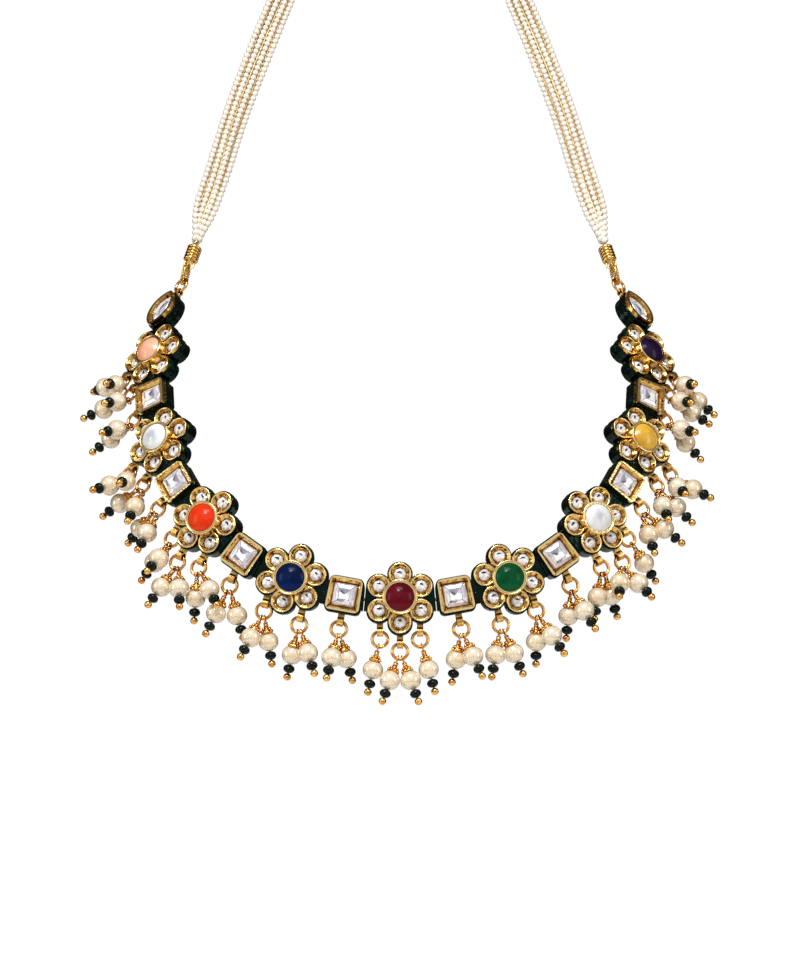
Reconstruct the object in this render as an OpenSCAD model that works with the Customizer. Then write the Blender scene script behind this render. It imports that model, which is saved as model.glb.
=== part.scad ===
// Kundan necklace: nine navaratna flowers and eight square links in enamelled gold cases,
// pearl drops on jump rings, and seed pearl strands that close at the nape.
// Millimetres, +Z up, front of the necklace towards -Y, origin where the clasp sits on the nape.

/* [Flower links] */
// from the middle of a flower to the middle of each petal
petal_at = 6.1; // [6.05:0.05:6.2]
// outside of the gold bezel round each petal stone
petal_bezel_d = 5.7; // [5.5:0.1:5.8]
// across the corners of a petal stone
petal_stone_d = 3.2; // [2.8:0.1:3.3]
// outside of the raised bezel round the middle stone
centre_bezel_d = 8.8; // [8.5:0.1:8.8]
// middle stone, across
cabochon_d = 7.1; // [6.6:0.1:7.2]
// middle stone, base to top
cabochon_h = 3.3; // [2.9:0.1:3.6]

/* [Square links] */
// outside of the square bezel, along the chain
square_bezel_w = 8.4; // [8.1:0.1:8.5]
// outside of the square bezel, across the chain
square_bezel_h = 8.6; // [8.3:0.1:8.8]
// square stone, side to side
square_stone_w = 5.8; // [5.4:0.1:5.9]

/* [End links] */
// outside of the leaf shaped bezel, tip to tip
leaf_bezel_len = 11.4; // [11.0:0.1:11.6]
// outside of the leaf shaped bezel, across
leaf_bezel_w = 7.7; // [7.4:0.1:7.9]
// leaf shaped stone, tip to tip
leaf_stone_len = 8.4; // [7.8:0.1:8.6]
// leaf shaped stone, across
leaf_stone_w = 5; // [4.6:0.1:5.1]

/* [Cases] */
// enamelled case, back to top face
case_t = 3.8; // [3.6:0.1:4.2]
// how far the case stands out past the bezels
case_lip = 0.35; // [0.25:0.05:0.35]
// gap between the cases of two links on a straight chain
link_gap = 0.86; // [0.8:0.02:1.2]

/* [Drops] */
// jump ring, outside
jump_ring_d = 4.7; // [4.65:0.05:4.8]
// jump ring wire
jump_wire_d = 0.8; // [0.7:0.05:0.8]
// hanging pearl
pearl_d = 4.9; // [4.4:0.1:5]
// gold cap over each pearl
cap_d = 2.8; // [2.4:0.1:2.8]
// green bead below the pearl, across
green_d = 3; // [2.6:0.1:3]
// green bead, along the pin
green_h = 2.1; // [1.8:0.1:2.2]
// gold ball at the foot of the pin
ball_d = 1.9; // [1.6:0.1:1.9]

/* [Ends] */
// plain ring, outside
plain_ring_d = 4.8; // [4.75:0.05:4.9]
// granulated ring, outside
granulated_ring_d = 6; // [5.9:0.05:6.1]
// coiled cap on the strands, across
coil_d = 3.9; // [3.8:0.1:4.2]
// coiled cap, along the strands
coil_len = 4.4; // [4.2:0.1:5]

/* [Strands] */
// strand bundle, across at its widest
bundle_w = 7.4; // [6.5:0.1:8]
// strand bundle, front to back
bundle_t = 3.6; // [3.4:0.1:4]
// rise of the strands from their caps to the nape
strand_up = 92; // [85:1:100]
// how far back the strands go to the nape
strand_back = 78; // [72:1:84]
// barrel clasp, across
clasp_d = 5.2; // [5:0.1:6]
// barrel clasp, end to end
clasp_len = 14; // [13.5:0.5:16]

/* [Hidden] */
$fn = 48;
clear = 0.12;
// how far a cut runs past the face it opens
over = 1;

// case: the wire runs at height 0, a groove parts the upper tier from the lower one
case_top = 2.2;
case_bottom = case_top - case_t;
groove_top = 0.4;
groove_h = 0.35;
tier_step = 0.25;
case_r = petal_bezel_d / 2 + case_lip;
lip_r = 0.22;
petal_rim_top = 3.2;
petal_floor = 1.7;
centre_rim_top = 5.2;
centre_floor = 3;
square_rim_top = 3.5;
square_floor = 1.8;
square_corner = 1.2;
keystone = 2;
shoulder_reach = 0.7;
square_shoulder_h = 6.2;
mitre_gap = 0.3;
mitre_size = 11;
leaf_rim_top = 3.4;
stone_shelf = 0.6;
rim_start = case_top - 1.2;
tier_lap = 0.3;
bed_over = 0.2;
leaf_bed_flare = 1.2;
cabochon_crown = 1.5;

// chain: half lengths along the wire, and one row for each link from the middle outwards
flower_half = petal_at * cos(30) + case_r + link_gap / 2;
square_half = square_bezel_w / 2 + case_lip + link_gap / 2;
leaf_half = 6.4;
front_depth = 3.2;
// climb of the wire, turn back, roll of the face, lean of the loops
link_rows = [
  [0, 0, -10, 0],
  [10, 4, -9, 0],
  [21, 10, -6, 10],
  [35, 18, -2, 15],
  [46, 26, 4, 20],
  [59, 32, 13, 20],
  [73, 34, 23, 38],
  [85, 35, 31, 38],
  [94, 37, 38, 42],
  [104, 40, 46, 0]
];
leaf_turn = 26;
wire_r = 0.4;
wire_bore_r = 0.6;
wire_sides = 8;
wire_end = 2.5;

// drops: one row for each loop of a side, with the swing and lift of its drops
// link, place on the rim, first swing, first lift, second swing, second lift
left_drops = [
  [0, 40, 13, -8],
  [1, 0, -25, -20, 2, 18],
  [2, -40, -31, 13, 3, -15],
  [2, 38, -19, -16, 12, 17],
  [3, 0, -34, -14, 4, 4],
  [4, -42, -59, 18, -16, -19],
  [4, 0, -39, 19, 1, 18],
  [4, 44, 17, -12, -10, 42],
  [5, 0, -28, 25, 22, -22],
  [6, -42, -33, 28, 30, 0],
  [6, 0, -64, 56, -5, 56],
  [7, 0, -29, 56, 10, 13],
  [8, -42, -49, 53, 17, 19],
  [8, 0, -70, 55, 60, -14]
];
right_drops = [
  [0, 0, -19, 8, 20, 5],
  [0, 40, 16, -7],
  [1, 0, -20, -14, 12, 15],
  [2, -40, -23, 6, 14, -11],
  [2, 38, -10, -18, 18, 20],
  [3, 0, -22, -21, 2, 23],
  [4, -42, -36, -3, 1, -23],
  [4, 0, -48, 34, -3, 36],
  [4, 44, 16, -17],
  [5, 0, -35, 18, 5, 20],
  [6, -42, -39, 29, 2, 20],
  [6, 0, -46, 48, 4, 42],
  [7, 0, -35, 56, 2, 4],
  [8, -42, -57, 51, -9, 25],
  [8, 0, -68, 55, -10, 20]
];
bail_r = 1.25;
bail_hole_r = 0.8;
bail_w = 1.6;
bail_drop = 2.1;
bail_height = -0.2;
neck_root = 0.6;
neck_t = 1.3;
ring_drop = 4.05;
jump_mid_r = (jump_ring_d - jump_wire_d) / 2;
eye_mid_r = 0.87;
eye_wire_r = 0.2;
eye_hang = 0.14;
wrap_r = 0.42;
pin_r = 0.25;
bead_bore_r = 0.4;
green_belt = 0.6;
cap_neck = 1.1;
cap_skirt = 0.35;
cap_slope_w = 0.7;
cap_band = 0.5;
wrap_sink = 0.2;
// along a drop, from the wire of its jump ring
eye_end = eye_hang + eye_mid_r;
pearl_along = 5.85;
cap_top = pearl_along - pearl_d / 2 - cap_neck;
cap_rim = pearl_along - pearl_d / 2 + cap_skirt;
green_along = pearl_along + pearl_d / 2 + clear + green_h / 2;
ball_along = green_along + green_h / 2 + clear + ball_d / 2;

// ends: the rings and the cap follow one line up and back
end_climb = 108;
end_back = 25;
end_line = [cos(end_back) * cos(end_climb), sin(end_back), cos(end_back) * sin(end_climb)];
tip_bail_r = 1.1;
tip_hole_r = 0.75;
tip_bail_w = 1;
tip_bail_out = 0.75;
tip_bail_height = 1.1;
tip_neck_at = 1.2;
tip_neck_t = 1.4;
tip_neck_len = 1.8;
plain_wire_r = 0.375;
granulated_wire_r = 0.45;
plain_mid_r = plain_ring_d / 2 - plain_wire_r;
granulated_mid_r = granulated_ring_d / 2 - granulated_wire_r;
granulated_turn = 50;
cap_loop_r = 1.3;
cap_loop_wire_r = 0.25;
cap_loop_sink = 0.3;
coil_ribs = 5;
cup_depth = 0.9;
cup_r = 1.65;
plain_along = plain_mid_r + 0.12;
granulated_along = plain_along + plain_mid_r + granulated_mid_r
  - plain_wire_r - granulated_wire_r - 0.12;
loop_along = granulated_along + granulated_mid_r + cap_loop_r
  - granulated_wire_r - cap_loop_wire_r - 0.12;
coil_along = loop_along + cap_loop_r - cap_loop_sink;

// strands: shares of the way in, back and up, then shares of the width and the thickness
strand_rows = [
  [1, 0, 0, 0, 0],
  [0.985, 0.018, 0.036, 0.1, 0.1],
  [0.95, 0.07, 0.11, 0.8, 0.8],
  [0.89, 0.16, 0.22, 1, 1],
  [0.77, 0.35, 0.45, 1, 1],
  [0.57, 0.58, 0.75, 1, 1],
  [0.45, 0.75, 0.9, 0.95, 1],
  [0.31, 0.91, 0.98, 0.75, 0.9],
  [0.18, 0.995, 1, 0.25, 0.4],
  [0, 1, 1, 0, 0]
];
bundle_sides = 12;
bundle_end_r = 1.5;
steps_per_row = 3;
clasp_groove = 0.3;
clasp_groove_at = 1;
clasp_collar = 1;
clasp_collar_step = 0.35;

// lines and places of the chain, for the right side; the left side is its mirror
function climb(i) = link_rows[i][0];
function back(i) = link_rows[i][1];
function roll(i) = link_rows[i][2];
function lean(i) = link_rows[i][3];
function unit(v) = v / norm(v);
function last_link() = len(link_rows) - 1;
function half(i) = i == last_link() ? leaf_half : i % 2 == 0 ? flower_half : square_half;
function along(i) = [
  cos(back(i)) * cos(climb(i)),
  sin(back(i)),
  cos(back(i)) * sin(climb(i))
];
function facing(i) = unit([0, -1, 0] + along(i)[1] * along(i));
function outward(i) = cos(roll(i)) * facing(i) - sin(roll(i)) * cross(facing(i), along(i));
function inward(i) = cross(outward(i), along(i));
function middle(i) = i == 0
  ? [0, front_depth, 0]
  : middle(i - 1) + half(i - 1) * along(i - 1) + half(i) * along(i);
function mirrored(v, side) = [side * v[0], v[1], v[2]];

// the leaf link's long line, its tip and the line of the rings beyond it
leaf_line = cos(leaf_turn) * along(last_link()) + sin(leaf_turn) * inward(last_link());
tip = middle(last_link())
  + (leaf_bezel_len / 2 + case_lip + tip_bail_out) * leaf_line
  + tip_bail_height * outward(last_link());
tip_across = unit(cross(end_line, cross(cross(outward(last_link()), leaf_line), end_line)));
strand_start = tip + (coil_along + coil_len) * end_line;
clasp_at = [0, strand_start[1] + strand_back, strand_start[2] + strand_up];
nape_seat = clasp_at - [0, 0, clasp_d / 2];

// drop loops: the edge of a case in the direction of its loop
function petal_edge(spot) = let (
    off = abs((spot + 390) % 60 - 30),
    r = case_r - tier_step
  ) petal_at * cos(off) + sqrt(r * r - pow(petal_at * sin(off), 2));
function square_edge() = square_bezel_h / 2 + case_lip - tier_step;
function loop_edge(i, spot) = i % 2 == 0 ? petal_edge(spot) : square_edge();

// smooth curve through the strand rows, share u of the way from row k to the next one
function row(k) = strand_rows[min(max(k, 0), len(strand_rows) - 1)];
function eased(k, u) = (
    2 * row(k)
    + u * (row(k + 1) - row(k - 1))
    + u * u * (2 * row(k - 1) - 5 * row(k) + 4 * row(k + 1) - row(k + 2))
    + u * u * u * (3 * row(k) - row(k - 1) - 3 * row(k + 1) + row(k + 2))
  ) / 2;
strand_reach = clasp_len / 2 - cup_depth + clear;
function strand_point(e) = [
  strand_reach + (strand_start[0] - strand_reach) * e[0],
  strand_start[1] + strand_back * e[1],
  strand_start[2] + strand_up * e[2]
];
function bundle_half(e) = [
  bundle_end_r + (bundle_w / 2 - bundle_end_r) * e[3],
  bundle_end_r + (bundle_t / 2 - bundle_end_r) * e[4]
];

// rings of points round a route, turned so that their width lies across the view
function ring_at(p, tangent, size, sides) = let (
    across = unit(cross(tangent, [0, 1, 0])),
    up = cross(tangent, across)
  ) [for (k = [0 : sides - 1])
    p + size[0] * cos(360 * k / sides) * across + size[1] * sin(360 * k / sides) * up];
function route_rings(route, sizes, sides) = let (last = len(route) - 1) [
  for (k = [0 : last])
    ring_at(
      route[k],
      unit(unit(route[min(k + 1, last)] - route[min(k, last - 1)])
        + unit(route[max(k, 1)] - route[max(k - 1, 0)])),
      sizes[k],
      sides
    )
];

// closed solid through rings of points, each ring counterclockwise about the line of the stack
module stack(rings, flat) {
  n = len(rings[0]);
  last = len(rings) - 1;
  polyhedron(
    points = [for (ring = rings) for (p = ring) p],
    faces = concat(
      [[for (k = [0 : n - 1]) k]],
      flat
        ? [for (r = [0 : last - 1]) for (k = [0 : n - 1])
            [r * n + k, (r + 1) * n + k, (r + 1) * n + (k + 1) % n, r * n + (k + 1) % n]]
        : [for (r = [0 : last - 1]) for (k = [0 : n - 1]) for (half = [0, 1])
            half == 0
              ? [r * n + k, (r + 1) * n + k, (r + 1) * n + (k + 1) % n]
              : [r * n + k, (r + 1) * n + (k + 1) % n, r * n + (k + 1) % n]],
      [[for (k = [n - 1 : -1 : 0]) last * n + k]]
    ),
    convexity = 4
  );
}

// flat sided stone or pocket: rows of scale and height over one outline
module cut(outline, rows) {
  stack([for (r = rows) [for (p = outline) [p[0] * r[0], p[1] * r[0], r[1]]]], true);
}

function octagon(w, h, corner) = let (a = w / 2, b = h / 2) [
  [a, corner - b], [a, b - corner], [a - corner, b], [corner - a, b],
  [-a, b - corner], [-a, corner - b], [corner - a, -b], [a - corner, -b]
];
function leaf_radius(len, w) = (len * len + w * w) / (4 * w);
function leaf_points(len, w) = let (r = leaf_radius(len, w), span = asin(len / 2 / r)) [
  for (side = [1, -1])
    for (k = [-3 : 2])
      side * [-r * sin(span * k / 3), w / 2 - r + r * cos(span * k / 3)]
];

// outline with round corners: the corners are the middles of their arcs, counterclockwise
module round_corners(corners, r) {
  n = len(corners);
  function way(k) = unit(corners[(k + 1) % n] - corners[k % n]);
  function normal(k) = [way(k)[1], -way(k)[0]];
  polygon([for (k = [0 : n - 1]) for (edge = [k + n - 1, k]) corners[k] + r * normal(edge)]);
  for (p = corners) translate(p) circle(r);
}

// a link's own axes: x along the chain, y towards the neck, z out of its face
module in_link(i, side) {
  x = side * mirrored(along(i), side);
  y = mirrored(inward(i), side);
  z = mirrored(outward(i), side);
  p = mirrored(middle(i), side) - nape_seat;
  multmatrix([
    [x[0], y[0], z[0], p[0]],
    [x[1], y[1], z[1], p[1]],
    [x[2], y[2], z[2], p[2]],
    [0, 0, 0, 1]
  ]) children();
}

// a loop's own axes inside its link: z the way the drop hangs, y out of the face
module in_loop(i, spot, side) {
  translate([side * sin(spot), -cos(spot), 0] * loop_edge(i, spot))
    translate([0, 0, bail_height])
      rotate([90, 0, -side * lean(i)]) children();
}

// a drop's own axes inside its loop: z along the drop from the wire of the jump ring
module in_drop(swing, lift, side) {
  translate([0, 0, ring_drop])
    rotate([0, side * swing, 0])
      translate([0, 0, jump_mid_r])
        rotate([-lift, 0, 0]) children();
}

// the middle loop of the chain is in the right side's table
function drops(side) = side < 0 ? left_drops : right_drops;
function rows_of(i, side) = [for (r = drops(side)) if (r[0] == i) r];
module each_loop() {
  for (side = [-1, 1])
    for (r = drops(side))
      in_link(r[0], side) in_loop(r[0], r[1], side) children();
}

module each_drop() {
  for (side = [-1, 1])
    for (r = drops(side))
      for (k = [2 : 2 : len(r) - 2])
        in_link(r[0], side)
          in_loop(r[0], r[1], side)
            in_drop(r[k], r[k + 1], side) children();
}

module torus(mid_r, wire_r) {
  rotate_extrude() translate([mid_r, 0]) circle(wire_r, $fn = 24);
}

// the line of the end rings on one side, x across the tip, z up the line
module on_end_line(side, distance, turn) {
  z = mirrored(end_line, side);
  x = side * mirrored(tip_across, side);
  y = cross(z, x);
  p = mirrored(tip, side) - nape_seat;
  multmatrix([
    [x[0], y[0], z[0], p[0]],
    [x[1], y[1], z[1], p[1]],
    [x[2], y[2], z[2], p[2]],
    [0, 0, 0, 1]
  ]) translate([0, 0, distance]) rotate([0, 0, side * turn]) children();
}

module petals() {
  for (k = [0 : 5]) rotate([0, 0, 60 * k]) translate([0, petal_at, 0]) children();
}

// case outlines, grown or shrunk by a step, with a shoulder towards each neighbour
module flower_outline(step) {
  r = case_r + step;
  circle(petal_at);
  for (k = [0 : 5]) rotate(60 * k) translate([0, petal_at]) circle(r);
  square([2 * (flower_half + shoulder_reach), petal_at + 2 * step], center = true);
}

module square_shoulder(step) {
  square([2 * (square_half + shoulder_reach), square_shoulder_h + 2 * step], center = true);
}

module square_outline(w, h, r) {
  slant = (h / 2 - r) * tan(keystone);
  round_corners([
    [r - w / 2 - slant, r - h / 2],
    [w / 2 - r + slant, r - h / 2],
    [w / 2 - r - slant, h / 2 - r],
    [r - w / 2 + slant, h / 2 - r]
  ], r);
}

module leaf_outline(len, w) {
  r = leaf_radius(len, w);
  intersection() {
    translate([0, r - w / 2]) circle(r, $fn = 96);
    translate([0, w / 2 - r]) circle(r, $fn = 96);
  }
}

module tier(bottom, top) {
  translate([0, 0, bottom]) linear_extrude(top - bottom) children();
}

// lower tier, groove and upper tier, for one outline at three steps
module tiers() {
  tier(case_bottom, groove_top - groove_h) children(0);
  tier(case_bottom + tier_lap, groove_top + tier_lap) children(1);
  tier(groove_top, case_top) children(2);
}

module wire_bore() {
  translate([-flower_half - over, 0, 0])
    rotate([0, 90, 0]) cylinder(h = 2 * (flower_half + over), r = wire_bore_r);
}

// what lies past the plane half way between link j and the next one, for the link on that side
module past_joint(j, side, way) {
  z = mirrored(unit(along(j) + along(j + 1)), side);
  x = unit(cross([0, 1, 0], z));
  y = cross(z, x);
  p = mirrored(middle(j) + half(j) * along(j), side) - nape_seat;
  multmatrix([
    [x[0], y[0], z[0], p[0]],
    [x[1], y[1], z[1], p[1]],
    [x[2], y[2], z[2], p[2]],
    [0, 0, 0, 1]
  ]) translate([0, 0, way * (mitre_size - mitre_gap) / 2]) cube(mitre_size, center = true);
}

module mitred(i, side) {
  difference() {
    children();
    past_joint(i, side, 1);
    if (i == 0) past_joint(i, -side, 1);
    if (i > 0) past_joint(i - 1, side, -1);
  }
}

module loop_bails(i, side) {
  for (r = rows_of(i, side))
    in_loop(i, r[1], side) {
      difference() {
        union() {
          translate([0, 0, bail_drop])
            rotate([0, 90, 0]) cylinder(h = bail_w, r = bail_r, center = true);
          translate([0, 0, (bail_drop - neck_root) / 2])
            cube([bail_w, neck_t, bail_drop + neck_root], center = true);
        }
        translate([0, 0, bail_drop])
          rotate([0, 90, 0]) cylinder(h = 2 * bail_w, r = bail_hole_r, center = true);
      }
    }
}

// bezel of a round stone: a wall with a round lip, and the sloping bed that is cut from it
module round_rim(r, top) {
  rotate_extrude() {
    translate([0, rim_start]) square([r, top - lip_r - rim_start]);
    translate([r - lip_r, top - lip_r]) circle(lip_r, $fn = 16);
  }
}

module round_bed(stone_r, rim_r, floor, top) {
  inner = rim_r - 2 * lip_r;
  bed = stone_r + clear;
  rotate_extrude()
    polygon([
      [0, floor],
      [bed, floor],
      [bed, floor + stone_shelf],
      [inner, top - lip_r],
      [inner, top + over],
      [0, top + over]
    ]);
}

module flower_link(i, side) {
  mitred(i, side) in_link(i, side)
    difference() {
      union() {
        difference() {
          union() {
            tiers() {
              flower_outline(-tier_step);
              flower_outline(-2 * tier_step);
              flower_outline(0);
            }
            petals() round_rim(petal_bezel_d / 2, petal_rim_top);
          }
          petals() round_bed(petal_stone_d / 2, petal_bezel_d / 2, petal_floor, petal_rim_top);
        }
        round_rim(centre_bezel_d / 2, centre_rim_top);
        loop_bails(i, side);
        if (i == 0) loop_bails(i, -side);
      }
      translate([0, 0, centre_floor])
        cylinder(h = centre_rim_top, r = cabochon_d / 2 + clear);
      wire_bore();
    }
}

module square_link(i, side) {
  w = square_bezel_w;
  h = square_bezel_h;
  bed = square_stone_w / 2 + clear;
  mitred(i, side) in_link(i, side)
    difference() {
      union() {
        tiers() {
          union() {
            square_outline(w + 2 * (case_lip - tier_step), h + 2 * (case_lip - tier_step),
              square_corner);
            square_shoulder(-tier_step);
          }
          union() {
            square_outline(w - 2 * clear, h - 2 * clear, square_corner - clear);
            square_shoulder(-2 * tier_step);
          }
          union() {
            square_outline(w + 2 * case_lip, h + 2 * case_lip, square_corner + case_lip);
            square_shoulder(0);
          }
        }
        tier(rim_start, square_rim_top) square_outline(w, h, square_corner);
        loop_bails(i, side);
      }
      cut([[bed, -bed], [bed, bed], [-bed, bed], [-bed, -bed]], [
        [1, square_floor],
        [1, square_floor + stone_shelf],
        [(w / 2 - 2 * lip_r) / bed, square_rim_top + bed_over]
      ]);
      wire_bore();
    }
}

module leaf_link(side) {
  in_link(last_link(), side)
    difference() {
      rotate([0, 0, side * leaf_turn]) {
        tiers() {
          leaf_outline(leaf_bezel_len + 2 * (case_lip - tier_step),
            leaf_bezel_w + 2 * (case_lip - tier_step));
          leaf_outline(leaf_bezel_len - 2 * clear, leaf_bezel_w - 2 * clear);
          leaf_outline(leaf_bezel_len + 2 * case_lip, leaf_bezel_w + 2 * case_lip);
        }
        tier(rim_start, leaf_rim_top) leaf_outline(leaf_bezel_len, leaf_bezel_w);
      }
      rotate([0, 0, side * leaf_turn])
        cut(leaf_points(leaf_stone_len + 3 * clear, leaf_stone_w + 2 * clear), [
          [1, square_floor],
          [1, square_floor + stone_shelf],
          [leaf_bed_flare, leaf_rim_top + bed_over]
        ]);
      translate([-side * (leaf_half + over), 0, 0])
        rotate([0, side * 90, 0])
          cylinder(h = leaf_half + over - wire_end + 2 * clear, r = wire_bore_r);
    }
}

// the small gold loop soldered on the tip of a leaf link
module tip_bail(side) {
  on_end_line(side, 0, 0)
    difference() {
      union() {
        rotate([0, 90, 0]) cylinder(h = tip_bail_w, r = tip_bail_r, center = true);
        translate([0, 0, -tip_neck_at])
          cube([tip_bail_w, tip_neck_t, tip_neck_len], center = true);
      }
      rotate([0, 90, 0]) cylinder(h = 2 * tip_bail_w, r = tip_hole_r, center = true);
    }
}

module link_end(side) {
  color("DarkGreen") {
    leaf_link(side);
    tip_bail(side);
  }
}

module cabochon(i, side) {
  r = cabochon_d / 2;
  dome_r = (r * r + cabochon_crown * cabochon_crown) / (2 * cabochon_crown);
  in_link(i, side)
    translate([0, 0, centre_floor + clear])
      intersection() {
        cylinder(h = cabochon_h, r = r);
        translate([0, 0, cabochon_h - dome_r]) sphere(dome_r, $fn = 96);
      }
}

module petal_stone() {
  w = petal_stone_d * cos(22.5);
  translate([0, 0, petal_floor + clear])
    cut(octagon(w, w, w / 2 - w / 2 * tan(22.5)), [[0.9, 0], [1, 0.25], [1, 0.45], [0.6, 0.95]]);
}

module square_stone(i, side) {
  w = square_stone_w;
  in_link(i, side)
    translate([0, 0, square_floor + clear])
      cut(octagon(w, w, w / 12), [[0.95, 0], [1, 0.3], [1, 0.5], [0.8, 1], [0.55, 1.3]]);
}

module leaf_stone(side) {
  in_link(last_link(), side)
    rotate([0, 0, side * leaf_turn])
      translate([0, 0, square_floor + clear])
        cut(leaf_points(leaf_stone_len, leaf_stone_w),
          [[0.95, 0], [1, 0.3], [1, 0.5], [0.78, 1], [0.5, 1.3]]);
}

// which link each flower and square is, from the left end to the right end
function flower_index(k) = abs(k - 5) * 2;
function square_index(k) = k < 5 ? 9 - 2 * k : 2 * k - 9;
function flower_side(k) = k < 5 ? -1 : 1;
function square_side(k) = k < 5 ? -1 : 1;

module numbered_flower(k) color("DarkGreen") flower_link(flower_index(k), flower_side(k));
module numbered_square(k) color("DarkGreen") square_link(square_index(k), square_side(k));
module numbered_stone(k) color("WhiteSmoke") square_stone(square_index(k), square_side(k));
module numbered_cabochon(k) cabochon(flower_index(k), flower_side(k));

module link_flower_1() numbered_flower(1);
module link_flower_2() numbered_flower(2);
module link_flower_3() numbered_flower(3);
module link_flower_4() numbered_flower(4);
module link_flower_5() numbered_flower(5);
module link_flower_6() numbered_flower(6);
module link_flower_7() numbered_flower(7);
module link_flower_8() numbered_flower(8);
module link_flower_9() numbered_flower(9);
module link_square_1() numbered_square(1);
module link_square_2() numbered_square(2);
module link_square_3() numbered_square(3);
module link_square_4() numbered_square(4);
module link_square_5() numbered_square(5);
module link_square_6() numbered_square(6);
module link_square_7() numbered_square(7);
module link_square_8() numbered_square(8);
module link_end_left() link_end(-1);
module link_end_right() link_end(1);

module cabochon_pink() color("LightPink") numbered_cabochon(1);
module cabochon_pearl_left() color("Linen") numbered_cabochon(2);
module cabochon_coral() color("OrangeRed") numbered_cabochon(3);
module cabochon_blue() color("MediumBlue") numbered_cabochon(4);
module cabochon_ruby() color("Crimson") numbered_cabochon(5);
module cabochon_green() color("SeaGreen") numbered_cabochon(6);
module cabochon_pearl_right() color("Linen") numbered_cabochon(7);
module cabochon_yellow() color("Gold") numbered_cabochon(8);
module cabochon_purple() color("Indigo") numbered_cabochon(9);
module square_stone_1() numbered_stone(1);
module square_stone_2() numbered_stone(2);
module square_stone_3() numbered_stone(3);
module square_stone_4() numbered_stone(4);
module square_stone_5() numbered_stone(5);
module square_stone_6() numbered_stone(6);
module square_stone_7() numbered_stone(7);
module square_stone_8() numbered_stone(8);
module end_stone_left() color("WhiteSmoke") leaf_stone(-1);
module end_stone_right() color("WhiteSmoke") leaf_stone(1);

module petal_stones() {
  color("WhiteSmoke")
    for (k = [1 : 9])
      in_link(flower_index(k), flower_side(k)) petals() petal_stone();
}

module stringing_wire() {
  bends = [for (i = [0 : last_link() - 1]) middle(i) + half(i) * along(i)];
  end = middle(last_link()) - wire_end * along(last_link());
  right = concat(bends, [end]);
  route = concat(
    [for (k = [last_link() : -1 : 0]) mirrored(right[k], -1) - nape_seat],
    [for (p = right) p - nape_seat]
  );
  color("Goldenrod")
    stack(route_rings(route, [for (p = route) [wire_r, wire_r]], wire_sides), false);
}

module jump_rings() {
  color("Gold")
    each_loop() translate([0, 0, ring_drop]) rotate([90, 0, 0]) torus(jump_mid_r, jump_wire_d / 2);
}

// wrapped wire, cap, pin and ball in one turned solid, with the eye across it
module drop_pins() {
  color("Gold")
    each_drop() {
      translate([0, 0, eye_hang]) rotate([0, 90, 0]) torus(eye_mid_r, eye_wire_r);
      rotate_extrude() {
        difference() {
          union() {
            translate([0, eye_end]) square([wrap_r, cap_top - eye_end + wrap_sink]);
            polygon([
              [0, cap_top],
              [cap_d / 2 - cap_slope_w, cap_top],
              [cap_d / 2, cap_rim - cap_band],
              [cap_d / 2, cap_rim],
              [0, cap_rim]
            ]);
          }
          translate([0, pearl_along]) circle(pearl_d / 2 + clear);
        }
        translate([0, cap_top]) square([pin_r, ball_along - cap_top]);
        intersection() {
          translate([0, ball_along]) circle(ball_d / 2);
          translate([0, ball_along - ball_d]) square([ball_d, 2 * ball_d]);
        }
      }
    }
}

module drop_pearls() {
  color("Linen")
    each_drop()
      translate([0, 0, pearl_along])
        difference() {
          sphere(pearl_d / 2);
          cylinder(h = pearl_d + 1, r = bead_bore_r, center = true);
        }
}

// a belt between two round shoulders
module drop_green_beads() {
  belly = green_h / 2;
  shoulder = belly - green_belt / 2;
  color("DarkSlateGray")
    each_drop()
      translate([0, 0, green_along])
        rotate_extrude() {
          translate([bead_bore_r, -belly]) square([green_d / 2 - shoulder - bead_bore_r, green_h]);
          translate([bead_bore_r, -green_belt / 2])
            square([green_d / 2 - bead_bore_r, green_belt]);
          intersection() {
            for (end = [-1, 1])
              translate([green_d / 2 - shoulder, end * green_belt / 2]) circle(shoulder);
            translate([bead_bore_r, -belly]) square([green_d, green_h]);
          }
        }
}

module plain_ring(side) {
  color("Gold")
    on_end_line(side, plain_along, 0) rotate([90, 0, 0]) torus(plain_mid_r, plain_wire_r);
}

module granulated_ring(side) {
  color("Gold")
    on_end_line(side, granulated_along, granulated_turn)
      rotate([90, 0, 0]) torus(granulated_mid_r, granulated_wire_r);
}

module coil_cap(side) {
  rib = coil_len / coil_ribs;
  color("Gold")
    on_end_line(side, 0, granulated_turn + 90) {
      translate([0, 0, loop_along]) rotate([90, 0, 0]) torus(cap_loop_r, cap_loop_wire_r);
      translate([0, 0, coil_along])
        difference() {
          rotate_extrude() {
            square([coil_d / 2 - rib / 3, coil_len]);
            for (k = [0 : coil_ribs - 1])
              translate([coil_d / 2 - rib / 2, (k + 0.5) * rib]) circle(rib / 2, $fn = 24);
          }
          translate([0, 0, coil_len - cup_depth]) cylinder(h = cup_depth + over, r = cup_r);
        }
    }
}

module pearl_strands(side) {
  marks = [for (k = [0 : len(strand_rows) - 2]) for (s = [0 : steps_per_row - 1])
    eased(k, s / steps_per_row)];
  all_marks = concat([row(0)], marks, [row(len(strand_rows))]);
  in_cup = (cup_depth - clear) * end_line;
  route = [for (k = [0 : len(all_marks) - 1])
    mirrored(strand_point(all_marks[k]) - (k == 0 ? in_cup : [0, 0, 0]), side) - nape_seat];
  color("Linen") stack(
    route_rings(route, [for (e = all_marks) bundle_half(e)], bundle_sides),
    false
  );
}

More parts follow.
